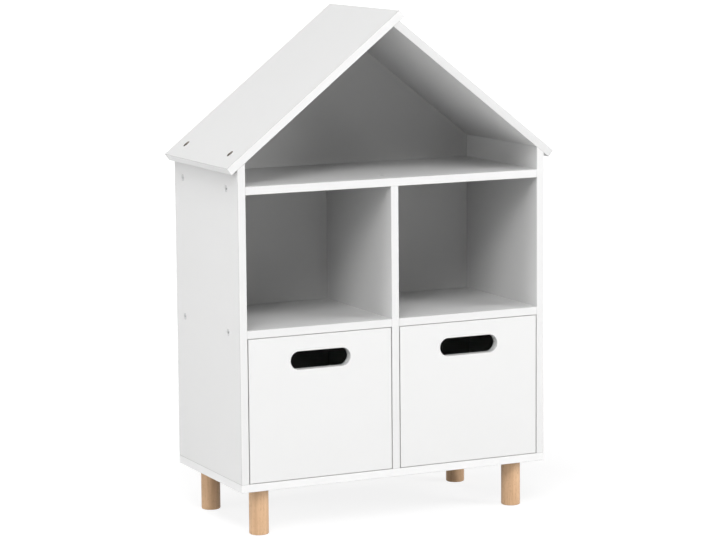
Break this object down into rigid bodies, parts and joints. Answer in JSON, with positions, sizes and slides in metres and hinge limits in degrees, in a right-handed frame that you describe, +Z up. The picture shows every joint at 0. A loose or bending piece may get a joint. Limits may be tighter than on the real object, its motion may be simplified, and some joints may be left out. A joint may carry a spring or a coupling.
{
  "type": "house shaped bookcase",
  "caption": "House shaped cabinet on round wooden legs, with a pitched roof over an open attic, open cubbies and pull-out bins with handle slots.",
  "frame": {"origin": "on the floor, under the middle of the bookcase's box", "axes": "+Z up, -Y is the open front with the bins, +X is the right side seen from the front"},
  "size_m": [0.6594, 0.3, 0.9445],
  "materials": {
    "faced_board": "white melamine faced chipboard with edge banding, satin",
    "back_board": "thin fibreboard, painted white on the side that shows",
    "leg_wood": "clear matt lacquer on turned beech or rubberwood",
    "dowel_wood": "plain fluted hardwood",
    "screw_steel": "bright zinc plating",
    "bracket_steel": "zinc plated sheet",
    "dull_zinc": "die cast zinc alloy, matt"
  },
  "bodies": {
    "case": {"left_side_panel": "faced_board", "right_side_panel": "faced_board", "bottom_board": "faced_board", "top_shelf": "faced_board", "divider_panel": "faced_board", "left_middle_shelf": "faced_board", "right_middle_shelf": "faced_board", "left_roof_panel": "faced_board", "right_roof_panel": "faced_board", "lower_back_panel": "back_board", "gable_back_panel": "back_board", "front_left_leg": "leg_wood", "front_right_leg": "leg_wood", "back_left_leg": "leg_wood", "back_right_leg": "leg_wood", "leg_inserts": "dull_zinc", "leg_bolts": "screw_steel", "left_side_screws": "screw_steel", "right_side_screws": "screw_steel", "divider_screws": "screw_steel", "base_screws": "screw_steel", "left_roof_screws": "screw_steel", "right_roof_screws": "screw_steel", "base_dowels": "dowel_wood", "top_shelf_dowels": "dowel_wood", "middle_shelf_dowels": "dowel_wood", "front_ridge_bracket": "bracket_steel", "rear_ridge_bracket": "bracket_steel", "ridge_bracket_screws": "screw_steel"},
    "left_bin": {"left_bin_front": "faced_board", "left_bin_left_wall": "faced_board", "left_bin_right_wall": "faced_board", "left_bin_back": "faced_board", "left_bin_bottom": "back_board", "left_bin_cams": "dull_zinc", "left_bin_cam_bolts": "screw_steel", "left_bin_dowels": "dowel_wood", "left_bin_wall_screws": "screw_steel"},
    "right_bin": {"right_bin_front": "faced_board", "right_bin_left_wall": "faced_board", "right_bin_right_wall": "faced_board", "right_bin_back": "faced_board", "right_bin_bottom": "back_board", "right_bin_cams": "dull_zinc", "right_bin_cam_bolts": "screw_steel", "right_bin_dowels": "dowel_wood", "right_bin_wall_screws": "screw_steel"}
  },
  "joints": [
    {"name": "left_bin_slide", "type": "slide", "parent": "case", "child": "left_bin", "axis": [0, -1, 0], "range_m": [0, 0.26]},
    {"name": "right_bin_slide", "type": "slide", "parent": "case", "child": "right_bin", "axis": [0, -1, 0], "range_m": [0, 0.26]}
  ]
}
